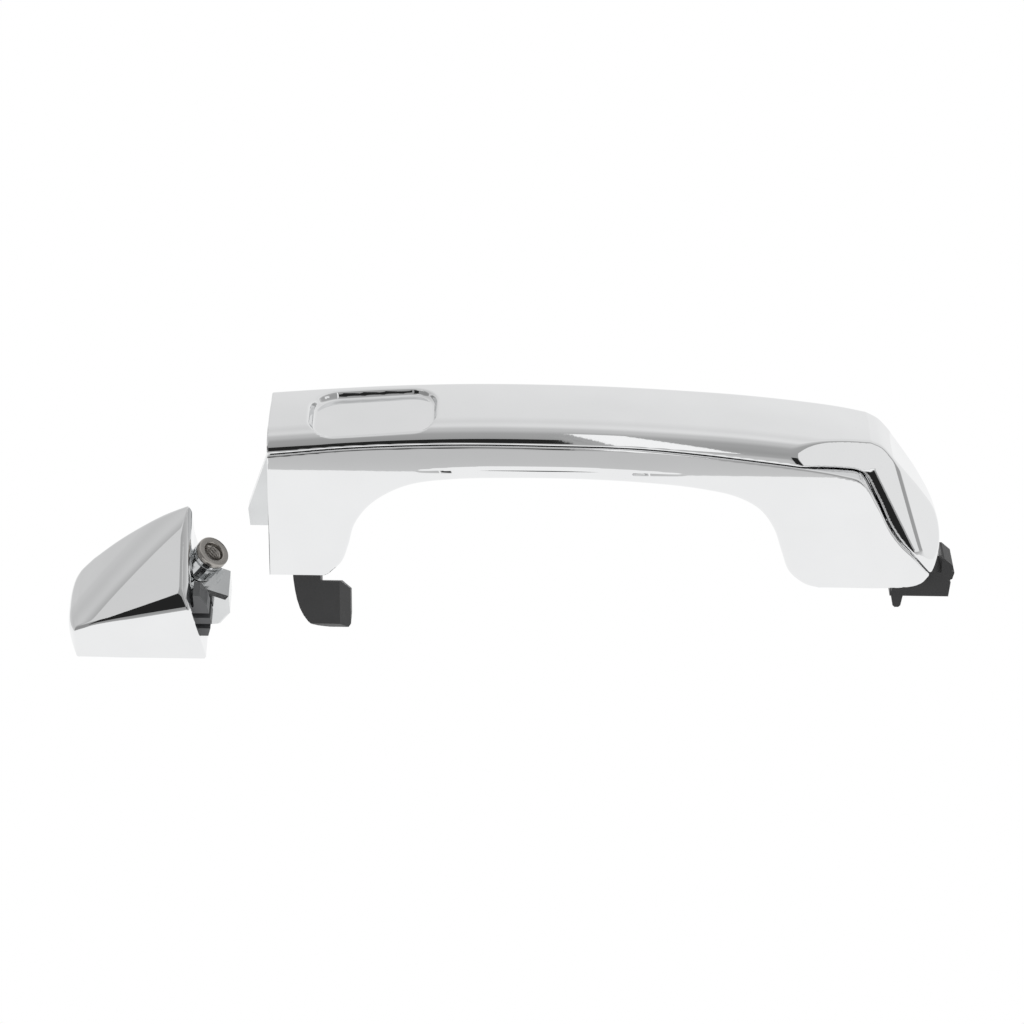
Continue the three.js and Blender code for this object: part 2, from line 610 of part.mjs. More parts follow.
const cap = new THREE.Group();
cap.position.copy(CAP_PLACE);
cap.rotation.x = CAP_ROLL;
doorSide.add(cap);
piece(cap, "cap_shell", capShell(), chrome);
piece(cap, "cap_bracket", capBracket(), satinPlate);
piece(cap, "cap_boss", capBoss(), satinPlate);
piece(cap, "threaded_insert", threadedInsert(), nickel);
piece(cap, "cap_clip_block", capClipBlock(), greyPlastic);
piece(cap, "cap_bracket_screw", capBracketScrew(), steel);

export default group;
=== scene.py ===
import json
import math

import bpy
import numpy as np
from mathutils import Matrix, Vector


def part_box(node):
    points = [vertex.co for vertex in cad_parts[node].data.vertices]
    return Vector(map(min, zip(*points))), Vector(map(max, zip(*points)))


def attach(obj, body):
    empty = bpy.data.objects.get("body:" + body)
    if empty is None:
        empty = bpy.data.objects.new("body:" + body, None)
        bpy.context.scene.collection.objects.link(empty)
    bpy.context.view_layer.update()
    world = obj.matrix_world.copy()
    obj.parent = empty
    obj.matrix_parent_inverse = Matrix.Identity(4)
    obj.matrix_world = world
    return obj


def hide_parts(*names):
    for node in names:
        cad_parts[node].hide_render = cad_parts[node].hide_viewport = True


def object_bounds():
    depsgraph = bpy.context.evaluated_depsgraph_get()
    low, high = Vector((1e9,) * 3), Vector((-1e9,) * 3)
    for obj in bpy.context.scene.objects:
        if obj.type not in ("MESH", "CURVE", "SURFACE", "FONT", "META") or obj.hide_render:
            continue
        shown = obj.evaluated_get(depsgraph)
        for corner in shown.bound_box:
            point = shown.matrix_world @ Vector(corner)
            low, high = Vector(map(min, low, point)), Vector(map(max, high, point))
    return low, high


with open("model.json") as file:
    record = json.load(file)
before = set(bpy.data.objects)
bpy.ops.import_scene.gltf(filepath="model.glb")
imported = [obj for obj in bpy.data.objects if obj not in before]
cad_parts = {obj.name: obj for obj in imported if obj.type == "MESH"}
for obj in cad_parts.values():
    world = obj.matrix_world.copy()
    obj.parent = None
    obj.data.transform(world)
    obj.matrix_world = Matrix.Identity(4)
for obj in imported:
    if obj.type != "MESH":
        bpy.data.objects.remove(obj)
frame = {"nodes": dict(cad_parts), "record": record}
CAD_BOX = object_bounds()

# ---- the frame ----
# The shells are drawn in millimetres: x = 0 at the grip's rear end, y = 0 at its near side and
# z = 0 at the door skin under the rear foot. ORIGIN takes that corner to the row's frame.
MM = 0.001
FRONT_DROP = 1.8
SHELL_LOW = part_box("inner_shell")[0]
ORIGIN = np.array([SHELL_LOW.x, SHELL_LOW.y, SHELL_LOW.z + FRONT_DROP * MM])

LENGTH = 201.0
WIDTH = 31.0
MID_Y = WIDTH / 2
WALL = 2.4
REAR_FOOT = 17.0
FRONT_FOOT = 161.4
CROWN_EDGE = 5.4
FAR_EDGE = 2.8
ARCH_EDGE = 3.4
SKIN_INSET = 0.02
SEAM_GAP = 0.15
SEAM_EDGE = 0.6
CROWN_DROP = 0.7
SHOULDER_Z = 36
SHOULDER_HEIGHT = 8
LEAN_FROM_Z = 30
LEAN_SCALE = 210
MOUTH_LIP = 1.4

CAP_ROLL = math.radians(20)
CAP_PLACE = np.array([-20, -5.3, -26.9])
CAP_WIDTH = 29.0
CAP_HEIGHT = 40.4
CAP_LENGTH = 41.0


# ---- outlines ----
def spline(points, count):
    """A centripetal Catmull-Rom curve through [u, v] points, as count + 1 points."""
    knots = [np.array(p, float) for p in points]
    knots = [2 * knots[0] - knots[1], *knots, 2 * knots[-1] - knots[-2]]
    spans = len(knots) - 3
    curve = []
    for i in range(count + 1):
        place = min(i * spans / count, spans - 1e-6)
        k = int(place)
        p0, p1, p2, p3 = knots[k:k + 4]
        t1 = math.sqrt(np.linalg.norm(p1 - p0))
        t2 = t1 + math.sqrt(np.linalg.norm(p2 - p1))
        t3 = t2 + math.sqrt(np.linalg.norm(p3 - p2))
        t = t1 + (place - k) * (t2 - t1)
        a1 = (t1 - t) / t1 * p0 + t / t1 * p1
        a2 = (t2 - t) / (t2 - t1) * p1 + (t - t1) / (t2 - t1) * p2
        a3 = (t3 - t) / (t3 - t2) * p2 + (t - t2) / (t3 - t2) * p3
        b1 = (t2 - t) / t2 * a1 + t / t2 * a2
        b2 = (t3 - t) / (t3 - t1) * a2 + (t - t1) / (t3 - t1) * a3
        curve.append((t2 - t) / (t2 - t1) * b1 + (t - t1) / (t2 - t1) * b2)
    return [tuple(p) for p in curve]


class Outline:
    """Signed distances to a closed outline, kept on a fine grid and read between its points."""

    STEP = 0.3

    def __init__(self, points, margin=8.0):
        line = np.array(points, float)
        self.low = line.min(0) - margin
        size = line.max(0) - line.min(0) + 2 * margin
        u = self.low[0] + np.arange(int(size[0] / self.STEP) + 2) * self.STEP
        v = self.low[1] + np.arange(int(size[1] / self.STEP) + 2) * self.STEP
        uu, vv = np.meshgrid(u, v, indexing="ij")
        nearest = np.full(uu.shape, 1e9)
        inside = np.zeros(uu.shape, bool)
        for (au, av), (bu, bv) in zip(line, np.roll(line, -1, axis=0)):
            du, dv = bu - au, bv - av
            share = ((uu - au) * du + (vv - av) * dv) / max(du * du + dv * dv, 1e-12)
            share = np.clip(share, 0, 1)
            nearest = np.minimum(nearest, (uu - au - share * du) ** 2 + (vv - av - share * dv) ** 2)
            if av != bv:
                crosses = (vv < max(av, bv)) & (vv >= min(av, bv))
                inside ^= crosses & (uu < au + (vv - av) * du / dv)
        self.values = np.where(inside, -1, 1) * np.sqrt(nearest)

    def __call__(self, u, v):
        n, m = self.values.shape
        a = np.clip((u - self.low[0]) / self.STEP, 0, n - 1.001)
        b = np.clip((v - self.low[1]) / self.STEP, 0, m - 1.001)
        i, j = a.astype(int), b.astype(int)
        a, b = a - i, b - j
        near = self.values[i, j] * (1 - b) + self.values[i, j + 1] * b
        far = self.values[i + 1, j] * (1 - b) + self.values[i + 1, j + 1] * b
        return near * (1 - a) + far * a


# ---- fields: negative inside a solid, positive outside, in millimetres ----
def rounded(first, second, radius):
    """Where both are inside, with the edge between them rounded."""
    u = np.maximum(first + radius, 0)
    v = np.maximum(second + radius, 0)
    return np.minimum(np.maximum(first, second) + radius, 0) + np.hypot(u, v) - radius


def block(p, low, high):
    """A box between two corners."""
    low, high = np.array(low, float), np.array(high, float)
    return np.max(np.abs(p - (low + high) / 2) - (high - low) / 2, axis=1)


def plane(p, a, b, c, inner):
    """The side of the plane through a, b and c that inner is on."""
    a, b, c = (np.array(q, float) for q in (a, b, c))
    normal = np.cross(b - a, c - a)
    normal /= np.linalg.norm(normal)
    if (np.array(inner, float) - a) @ normal > 0:
        normal = -normal
    return (p - a) @ normal


ARCH = spline([
    (REAR_FOOT + 1.2, 0), (21.4, 3.4), (23.4, 9), (25.2, 16), (29, 22), (34.4, 26.6), (42, 30.2),
    (54, 32.1),
    (73, 32.8), (93, 32.7), (111, 31.8), (126, 30.2), (137.4, 27.6), (144.6, 23.4), (149.2, 16.8),
    (152, 8.6),
    (154.3, 2.4), (158, -1.2), (FRONT_FOOT, -3),
], 160)
CROWN = spline([
    (177, 42.9), (168, 44.8), (145, 47.6), (123, 49.2), (95, 50.4), (63, 50.6), (38, 49.7),
    (18, 48.3), (-6, 46.2),
], 90)
FRONT_END = spline([
    (190, -5), (196.6, -2), (199.8, 1.4), (LENGTH - 0.2, 6), (LENGTH - 0.5, 11), (198, 17), (193.8, 23.6),
    (189.2, 30), (185.8, 34.6), (183.2, 38), (180.6, 40.8), (177, 42.9),
], 70)
SIDE = Outline([
    (-12, -12), (REAR_FOOT - 1, -12), *ARCH, (FRONT_FOOT + 2, -12), (184, -12),
    *FRONT_END[:-1], *CROWN, (-12, 46),
])
NEAR_PLAN = spline([
    (150, 0), (176, 0.1), (187, 0.6), (193.4, 2.2), (198, 5.8), (200.4, 10.4), (LENGTH, MID_Y),
], 60)
PLAN = Outline(
    [(-12, 0), *NEAR_PLAN, *[(x, WIDTH - y) for x, y in reversed(NEAR_PLAN[:-1])], (-12, WIDTH)]
)
PARTING = spline([
    (-12, 39.4), (2, 40.6), (24, 42.8), (54, 44.2), (84, 44.2), (110, 43.6), (139, 40.8),
    (168, 36.6), (174.4, 34.4),
    (179.4, 26.4), (183.6, 18), (187.4, 12.6), (191.6, 8), (205, -12),
], 120)
ABOVE = Outline([*PARTING, (LENGTH + 12, -12), (LENGTH + 12, 70), (-12, 70)], margin=1.0)
CROWN_X, CROWN_Z = (np.array(c)[::-1] for c in zip(*CROWN))


def grip_sides(p):
    """The plan outline, with its near side drawn in a little towards the crown."""
    lean = np.clip(p[:, 2] - LEAN_FROM_Z, 0, None) ** 2 / LEAN_SCALE
    return PLAN(p[:, 0], p[:, 1]) + np.where(p[:, 1] < MID_Y, lean, 0)


def grip_outside(p):
    """The grip before its recess, with its crown bent across and its long edges rounded."""
    x, y, z = p.T
    across = np.abs(y - MID_Y) / MID_Y
    crowned = CROWN_DROP * across ** 2 * np.clip((z - SHOULDER_Z) / SHOULDER_HEIGHT, 0, 1)
    profile = SIDE(x, z + crowned)
    crown_edge = np.where(y < MID_Y, CROWN_EDGE, FAR_EDGE)
    edge = np.where(z > SHOULDER_Z, crown_edge, ARCH_EDGE)
    return rounded(profile, grip_sides(p), edge) + SKIN_INSET


def trimmed(field, p, inset):
    """Ends the grip at its rear face and on the door skin, which is lower under the front foot."""
    base = np.where(p[:, 0] < LENGTH / 2, 0, -FRONT_DROP) + inset - p[:, 2]
    return np.maximum(np.maximum(field, inset - p[:, 0]), base)


# ---- the sensor recess ----
RECESS_X = 30.6
RECESS_Y = MID_Y - 1.9
RECESS_HALF = (19.0, 13.0)
RECESS_CORNER = 9.0
RECESS_DEPTH = 2.6
RECESS_SLOPE = 0.42
RECESS_TILT = math.atan2(3, 38)
RECESS_FLOOR_EDGE = 0.6
RECESS_RIM_EDGE = 0.5


def recess(p, grow=0.0):
    """The pill-shaped recess in the crown, grown all round to leave a wall under it."""
    top = np.interp(RECESS_X, CROWN_X, CROWN_Z)
    along, up = p[:, 0] - RECESS_X, p[:, 2] - top
    u = along * math.cos(RECESS_TILT) + up * math.sin(RECESS_TILT)
    w = up * math.cos(RECESS_TILT) - along * math.sin(RECESS_TILT)
    a = np.abs(u) - RECESS_HALF[0] + RECESS_CORNER
    b = np.abs(p[:, 1] - RECESS_Y) - RECESS_HALF[1] + RECESS_CORNER
    pill = np.hypot(np.maximum(a, 0), np.maximum(b, 0)) + np.minimum(np.maximum(a, b), 0) - RECESS_CORNER
    walls = (pill - grow - RECESS_SLOPE * w) / math.hypot(1, RECESS_SLOPE)
    return rounded(walls, -w - RECESS_DEPTH - grow, RECESS_FLOOR_EDGE)


def grip_skin(p):
    return rounded(trimmed(grip_outside(p), p, 0), -recess(p), RECESS_RIM_EDGE)


def grip_hollow(p):
    """The grip's inside, open to the door under both feet."""
    inner = trimmed(grip_outside(p) + WALL, p, WALL)
    hollow = np.maximum(inner, -recess(p, WALL))
    rear_mouth = block(p, (WALL, WALL, -2), (REAR_FOOT - MOUTH_LIP, WIDTH - WALL, WALL + 1))
    front_mouth = np.maximum(
        block(p, (FRONT_FOOT - MOUTH_LIP, 0, -6), (LENGTH - 5, WIDTH, WALL + 1)),
        PLAN(p[:, 0], p[:, 1]) + WALL,
    )
    return np.minimum(hollow, np.minimum(rear_mouth, front_mouth))


# ---- the two shells, which meet at the parting line ----
SLIVER_TOP = 34.8
FACET_EDGE = 0.6
SLIVER_EDGE = 0.3
TAB_SLOT = ((-1.3, 24.3, 7.7), (5.7, 27.9, 20.3))


def front_facets(p):
    """The flats on the near front corner: side, end, and a sliver cut deeper beside the seam."""
    inner = (150, MID_Y, 30)
    flat = plane(p, (150, 1.2, 46.6), (179, 10.3, 42.3), (194, 2, 8.3), inner)
    sliver = plane(p, (178, 6.9, 34.5), (186.4, 3.9, 19.8), (173.2, 6.4, 35), inner)
    end = plane(p, (183, 9.5, 39), (193.6, 1.5, 8.3), (200.4, 14, 12), inner)
    flats = rounded(flat, end, FACET_EDGE)
    return rounded(flats, np.minimum(sliver, SLIVER_TOP - p[:, 2]), SLIVER_EDGE)


def outer_shell_field(p):
    """The upper shell, cut to the facets, with its hollow kept a wall away from them."""
    facets = front_facets(p)
    hollow = np.maximum(grip_hollow(p), facets + WALL)
    shell = np.maximum(rounded(grip_skin(p), facets, FACET_EDGE), -hollow)
    return rounded(shell, ABOVE(p[:, 0], p[:, 2]) + SEAM_GAP, SEAM_EDGE)


def inner_shell_field(p):
    """The lower shell, with a ledge under the facets and a slot for the tongue's tab."""
    hollow = np.maximum(grip_hollow(p), front_facets(p) + WALL)
    shell = np.maximum(grip_skin(p), -hollow)
    below = rounded(shell, SEAM_GAP - ABOVE(p[:, 0], p[:, 2]), SEAM_EDGE)
    return np.maximum(below, -block(p, *TAB_SLOT))


# ---- the rear cap, in its own upright frame ----
CAP_SIDE = Outline([
    (-37, -12),
    *spline([(-38.6, -2), (-40.3, 3.6), (-CAP_LENGTH, 8.4), (-40, 12.6), (-37.6, 15)], 30),
    *spline([(-37.6, 15), (-28, 22.6), (-16, 31.5), (-3.2, CAP_HEIGHT)], 40)[1:],
    (-3, 27), (-1.4, 14.5), (0.4, 2), (2, -12),
])
CAP_PLAN = Outline([
    *spline([(-38, 0.4), (-40, 4), (-CAP_LENGTH, 10), (-40.6, 16.4), (-38.4, 22), (-34, 24.8)], 30),
    *spline([(-34, 24.8), (-25, 27.2), (-13, 28.6), (8, CAP_WIDTH)], 30)[1:],
    (8, 0), (-20, 0),
])


CAP_MOUTH = Outline([(-30, -2), (6, -2), (6, CAP_HEIGHT - WALL - 1.6), (-8.5, 33), (-30, 16.4)], margin=2.0)


def cap_top(p):
    """The cap's profile with its leaning outer panel, and the facet from that to the near side."""
    inner = (-10, 20, 10)
    low, high = (-39.5, 0, 12.5), (-3, 5.2, 27.5)
    panel = plane(p, low, high, (-3, CAP_WIDTH, CAP_HEIGHT), inner)
    facet = plane(p, low, high, (-3, 0, 22.8), inner)
    return rounded(rounded(CAP_SIDE(p[:, 0], p[:, 2]), panel, 3.5), facet, 0.4)


def cap_skin(p):
    x, y, z = p.T
    hull = rounded(cap_top(p), np.maximum(-y, y - CAP_WIDTH), 0.8)
    return np.maximum(rounded(hull, CAP_PLAN(x, y), 1.6), -z)


def cap_shell_field(p):
    x, y, z = p.T
    profile = np.minimum(CAP_SIDE(x, z) + WALL, CAP_MOUTH(x, z))
    outside = np.maximum(cap_top(p), np.maximum(CAP_PLAN(x, y), np.maximum(-y, y - CAP_WIDTH)))
    hollow = np.maximum(profile, outside + WALL)
    return rounded(cap_skin(p), -hollow, 0.4)


def from_cap(p):
    """From the cap's own frame to the drawing frame."""
    c, s = math.cos(CAP_ROLL), math.sin(CAP_ROLL)
    return np.stack([p[:, 0], c * p[:, 1] - s * p[:, 2], s * p[:, 1] + c * p[:, 2]], axis=1) + CAP_PLACE


# ---- meshing a field ----
NORMAL_REACH = 0.06
MIDDLE_PULL = 0.06
SLAB = 24


def slope(field, p, reach):
    """The field's gradient, from its values a reach away on each side."""
    grad = np.empty_like(p)
    for axis in range(3):
        shift = np.zeros(3)
        shift[axis] = reach
        grad[:, axis] = (field(p + shift) - field(p - shift)) / (2 * reach)
    return grad


def cell_points(field, grid, inside, step, low):
    """One point in each cell that the surface passes, where the surface's planes in it meet best."""
    shape = [n - 1 for n in grid.shape]
    crossings = []
    crossed = np.zeros(shape, bool)
    for axis in range(3):
        others = [a for a in range(3) if a != axis]
        for corner in ((0, 0), (0, 1), (1, 0), (1, 1)):
            start = [0, 0, 0]
            start[others[0]], start[others[1]] = corner
            end = list(start)
            end[axis] = 1
            first = tuple(slice(s, n + s) for s, n in zip(start, shape))
            second = tuple(slice(e, n + e) for e, n in zip(end, shape))
            cut = inside[first] != inside[second]
            crossed |= cut
            cells = np.argwhere(cut)
            places = cells + np.array(start, float)
            places[:, axis] += grid[first][cut] / (grid[first][cut] - grid[second][cut])
            crossings.append((cells, places * step + low))
    ids = np.full(shape, -1)
    ids[crossed] = np.arange(crossed.sum())
    total = np.zeros((crossed.sum(), 3))
    count = np.zeros((len(total), 1))
    left = np.zeros((len(total), 3, 3))
    right = np.zeros((len(total), 3))
    for cells, places in crossings:
        rows = ids[tuple(cells.T)]
        normals = slope(field, places, NORMAL_REACH)
        normals /= np.maximum(np.linalg.norm(normals, axis=1), 1e-6)[:, None]
        total[rows] += places
        count[rows] += 1
        left[rows] += normals[:, :, None] * normals[:, None, :]
        right[rows] += normals * (normals * places).sum(1)[:, None]
    middle = total / count
    left += MIDDLE_PULL * np.eye(3)
    right += MIDDLE_PULL * middle
    points = np.linalg.solve(left, right[:, :, None])[:, :, 0]
    return middle + np.clip(points - middle, -0.7 * step, 0.7 * step), ids


def cell_faces(inside, ids):
    """A quad round each grid edge that the surface crosses."""
    faces = []
    for axis in range(3):
        b, c = [(1, 2), (2, 0), (0, 1)][axis]
        here = [slice(1, n - 1) for n in inside.shape]
        here[axis] = slice(0, inside.shape[axis] - 1)
        there = list(here)
        there[axis] = slice(1, inside.shape[axis])
        first, second = inside[tuple(here)], inside[tuple(there)]
        edge = np.argwhere(first != second)
        outward = first[tuple(edge.T)]
        cell = edge.copy()
        corners = []
        for db, dc in ((0, 0), (1, 0), (1, 1), (0, 1)):
            q = cell.copy()
            q[:, b] += db
            q[:, c] += dc
            corners.append(ids[tuple(q.T)])
        quad = np.stack(corners, axis=1)
        quad[~outward] = quad[~outward][:, ::-1]
        faces.append(quad)
    return np.concatenate(faces)


def field_mesh(name, field, low, high, step, to_mm=None):
    """The field's surface as a smooth mesh object, in the row's frame."""
    low = np.array(low, float)
    counts = [int((h - l) / step) + 2 for l, h in zip(low, high)]
    axes = [low[a] + step * np.arange(counts[a]) for a in range(3)]
    grid = np.empty(counts)
    plane_points = np.stack(np.meshgrid(axes[1], axes[2], indexing="ij"), axis=-1).reshape(-1, 2)
    for start in range(0, counts[0], SLAB):
        xs = axes[0][start:start + SLAB]
        slab = np.empty((len(xs), len(plane_points), 3))
        slab[..., 0] = xs[:, None]
        slab[..., 1:] = plane_points[None]
        grid[start:start + len(xs)] = field(slab.reshape(-1, 3)).reshape(len(xs), counts[1], counts[2])
    inside = grid < 0
    points, ids = cell_points(field, grid, inside, step, low)
    start = points.copy()
    for _ in range(2):
        grad = slope(field, points, 0.08)
        points = points - grad * (field(points) / np.maximum((grad ** 2).sum(1), 0.4))[:, None]
        points = start + np.clip(points - start, -0.2 * step, 0.2 * step)
    normals = slope(field, points, 0.45 * step)
    faces = cell_faces(inside, ids)
    if to_mm is not None:
        turned = to_mm(points + normals) - to_mm(points)
        points, normals = to_mm(points), turned
    normals /= np.maximum(np.linalg.norm(normals, axis=1), 1e-9)[:, None]
    mesh = bpy.data.meshes.new(name)
    mesh.from_pydata((points * MM + ORIGIN).tolist(), [], faces.tolist())
    mesh.polygons.foreach_set("use_smooth", [True] * len(mesh.polygons))
    mesh.normals_split_custom_set_from_vertices(normals.tolist())
    piece = bpy.data.objects.new(name, mesh)
    bpy.context.scene.collection.objects.link(piece)
    return piece


# ---- materials ----
def node(tree, kind, **values):
    """A new shader node with its inputs and settings filled in."""
    made = tree.nodes.new(kind)
    for key, value in values.items():
        if key in made.inputs:
            made.inputs[key].default_value = value
        else:
            setattr(made, key, value)
    return made


def base_material(name, colour, metallic, roughness):
    material = bpy.data.materials.new(name)
    material.use_nodes = True
    tree = material.node_tree
    shader = tree.nodes["Principled BSDF"]
    shader.inputs["Metallic"].default_value = metallic
    shader.inputs["Base Color"].default_value = (*colour, 1)
    shader.inputs["Roughness"].default_value = roughness
    return material, tree, shader


def surface_material(name, colour, metallic, roughness, grain, bump, spread=0.1, stretch=(1, 1, 1)):
    """Colour and roughness varied by noise of the grain's size in millimetres, with a fine bump."""
    material, tree, shader = base_material(name, colour, metallic, roughness)
    place = node(tree, "ShaderNodeTexCoord")
    mapping = node(tree, "ShaderNodeMapping", Scale=tuple(s / (grain * MM) for s in stretch))
    tree.links.new(place.outputs["Object"], mapping.inputs["Vector"])
    fine = node(tree, "ShaderNodeTexNoise", Scale=1.0, Detail=3.0, Roughness=0.6)
    broad = node(tree, "ShaderNodeTexNoise", Scale=60.0, Detail=2.0)
    tree.links.new(mapping.outputs["Vector"], fine.inputs["Vector"])
    tree.links.new(place.outputs["Object"], broad.inputs["Vector"])
    tint = node(tree, "ShaderNodeValToRGB")
    tint.color_ramp.elements[0].position = 0.3
    tint.color_ramp.elements[1].position = 0.7
    tint.color_ramp.elements[0].color = (*[c * (1 - spread) for c in colour], 1)
    tint.color_ramp.elements[1].color = (*[min(c * (1 + spread), 1) for c in colour], 1)
    tree.links.new(broad.outputs["Fac"], tint.inputs["Fac"])
    tree.links.new(tint.outputs["Color"], shader.inputs["Base Color"])
    rough = node(tree, "ShaderNodeMapRange")
    rough.inputs["To Min"].default_value = roughness * (1 - 2 * spread)
    rough.inputs["To Max"].default_value = roughness * (1 + 2 * spread)
    tree.links.new(fine.outputs["Fac"], rough.inputs["Value"])
    tree.links.new(rough.outputs["Result"], shader.inputs["Roughness"])
    relief = node(tree, "ShaderNodeBump", Strength=bump, Distance=0.05 * grain * MM)
    tree.links.new(fine.outputs["Fac"], relief.inputs["Height"])
    tree.links.new(relief.outputs["Normal"], shader.inputs["Normal"])
    return material


FINISHES = {
    "chrome": surface_material("chrome", (0.83, 0.835, 0.84), 1, 0.03, 6.0, 0.02, spread=0.012),
    "satin_plate": surface_material("satin_plate", (0.68, 0.69, 0.695), 1, 0.14, 1.2, 0.25, spread=0.06),
    "black_nylon": surface_material("black_nylon", (0.022, 0.022, 0.023), 0, 0.48, 0.35, 0.55, spread=0.18),
    "grey_plastic": surface_material("grey_plastic", (0.1, 0.103, 0.107), 0, 0.42, 0.35, 0.5, spread=0.12),
    "steel": surface_material("steel", (0.5, 0.51, 0.52), 1, 0.28, 0.3, 0.4, spread=0.08,
        stretch=(1, 1, 8)),
    "nickel": surface_material("nickel", (0.42, 0.4, 0.375), 1, 0.26, 0.25, 0.45, spread=0.1,
        stretch=(1, 6, 1)),
    "acetal": surface_material("acetal", (0.78, 0.75, 0.68), 0, 0.35, 0.6, 0.25, spread=0.04),
    "copper": surface_material("copper", (0.72, 0.33, 0.15), 1, 0.25, 0.5, 0.4, spread=0.1,
        stretch=(8, 1, 1)),
    "board_green": surface_material("board_green", (0.02, 0.12, 0.05), 0, 0.3, 0.8, 0.3, spread=0.2),
    "ferrite": surface_material("ferrite", (0.045, 0.042, 0.04), 0, 0.65, 0.3, 0.7, spread=0.2),
    "lead_sleeve": surface_material("lead_sleeve", (0.012, 0.012, 0.013), 0, 0.5, 0.8, 0.4, spread=0.15),
}


def paint(piece, slot_name):
    piece.data.materials.clear()
    piece.data.materials.append(FINISHES[slot_name])


# ---- the pieces ----
SHELL_STEP = 0.45
SLOT_OF = {part["node"]: part["material_slot"] for part in frame["record"]["subparts"]}
BODY_OF = {name: body for body, names in frame["record"]["behaviour"]["bodies"].items() for name in names}


def add_piece(piece, *nodes):
    """Hands a piece to the frame in place of the CAD nodes it shows."""
    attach(piece, BODY_OF[nodes[0]])
    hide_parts(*nodes)
    paint(piece, SLOT_OF[nodes[0]])


def make_shells():
    low, high = (-1.5, -1.5, -3.5), (LENGTH + 1.5, WIDTH + 1.5, 53)
    add_piece(field_mesh("outer_cover", outer_shell_field, low, high, SHELL_STEP), "outer_shell")
    add_piece(field_mesh("inner_cover", inner_shell_field, low, high, SHELL_STEP), "inner_shell")
    low, high = (-CAP_LENGTH - 1.5, -1.5, -1.5), (4, CAP_WIDTH + 1.5, CAP_HEIGHT + 1.5)
    add_piece(field_mesh("cap_cover", cap_shell_field, low, high, 0.75 * SHELL_STEP, from_cap), "cap_shell")


INSERT_LEAN = math.radians(33)
INSERT_PLACE = np.array([3.4, 18, 29.4])
INSERT_REACH = 9.0
INSERT_BORE = 2.95
INSERT_TURNS = 9
THREAD_DEPTH = 0.45


def on_insert_axis(points):
    """Points drawn round +Z to the insert's place on the cap, in the drawing frame."""
    c, s = math.cos(INSERT_LEAN), math.sin(INSERT_LEAN)
    x, y, z = points.T
    return from_cap(np.stack([c * x + s * z, y, c * z - s * x], axis=1) + INSERT_PLACE)


def make_insert():
    """The flanged insert: a turned outside and a helical thread inside."""
    sides, per_turn = 64, 8
    outside = [
        (5.0, -0.3), (5.0, -1.3), (4.9, -1.4), (3.4, -1.4), (3.3, -1.5), (3.3, -INSERT_REACH + 0.3),
        (3.0, -INSERT_REACH), (2.7, -INSERT_REACH),
    ]
    face = [(INSERT_BORE, -0.1), (3.15, 0.3), (3.3, 0.4), (4.6, 0.4), (4.85, 0.3), (4.95, 0.1)]
    rows = INSERT_TURNS * per_turn
    thread = []
    for row in range(rows + 1):
        depth = -INSERT_REACH + (INSERT_REACH - 0.3) * row / rows
        ring = []
        for side in range(sides):
            phase = (row / per_turn + side / sides) % 1
            crest = abs(2 * phase - 1)
            fade = min(1, (rows - row) / per_turn, row / 4)
            ring.append((INSERT_BORE - THREAD_DEPTH * fade * crest, depth))
        thread.append(ring)
    loop = thread + [[(r, h)] * sides for r, h in face + outside]
    points = [
        (r * math.cos(2 * math.pi * i / sides), r * math.sin(2 * math.pi * i / sides), h)
        for ring in loop for i, (r, h) in enumerate(ring)
    ]
    faces = []
    for k in range(len(loop)):
        for i in range(sides):
            j, n = (i + 1) % sides, (k + 1) % len(loop)
            faces.append((k * sides + i, n * sides + i, n * sides + j, k * sides + j))
    mesh = bpy.data.meshes.new("insert")
    mesh.from_pydata((on_insert_axis(np.array(points)) * MM + ORIGIN).tolist(), [], faces)
    mesh.polygons.foreach_set("use_smooth", [True] * len(mesh.polygons))
    mesh.set_sharp_from_angle(angle=math.radians(35))
    piece = bpy.data.objects.new("flanged_insert", mesh)
    bpy.context.scene.collection.objects.link(piece)
    add_piece(piece, "threaded_insert")


def soften(name, width):
    """Rounds the edges of a moulded or cast CAD node."""
    piece = frame["nodes"][name]
    bevel = piece.modifiers.new("edges", "BEVEL")
    bevel.width = width * MM
    bevel.segments = 3
    bevel.limit_method = "ANGLE"
    bevel.angle_limit = math.radians(28)
    bevel.harden_normals = True


def finish_nodes():
    """Gives every carried CAD node its finish, and rounds the ones that show."""
    for name, piece in frame["nodes"].items():
        paint(piece, SLOT_OF[name])
    for name, width in {
        "rear_pull_hook": 0.35, "front_hinge_bracket": 0.3, "cap_clip_block": 0.25, "cap_bracket": 0.4,
        "rear_end_tongue": 0.3, "connector_header": 0.2, "front_pivot_yoke": 0.3,
    }.items():
        soften(name, width)


# ---- the studio ----
def emission(name, colour, strength):
    material = bpy.data.materials.new(name)
    material.use_nodes = True
    tree = material.node_tree
    tree.nodes.clear()
    glow = node(tree, "ShaderNodeEmission", Color=(*colour, 1), Strength=strength)
    out = node(tree, "ShaderNodeOutputMaterial")
    tree.links.new(glow.outputs["Emission"], out.inputs["Surface"])
    return material


def card(name, corners, material):
    """A flat four-sided card, in millimetres, that belongs to the studio."""
    mesh = bpy.data.meshes.new(name)
    mesh.from_pydata([tuple(MM * c for c in corner) for corner in corners], [], [(0, 1, 2, 3)])
    piece = bpy.data.objects.new(name, mesh)
    bpy.context.scene.collection.objects.link(piece)
    mesh.materials.append(material)
    return piece


TARGET = np.array([71.8, 0, 22.8]) * MM + ORIGIN
TARGET_X, TARGET_Y, _ = TARGET / MM
FLOOR_Z = CAD_BOX[0][2] / MM - 22
CARDS_AWAY = 1120
CAMERA_AWAY = 1.035
CAMERA_RISE = math.radians(30)
CAMERA_ROLL = math.radians(0.8)


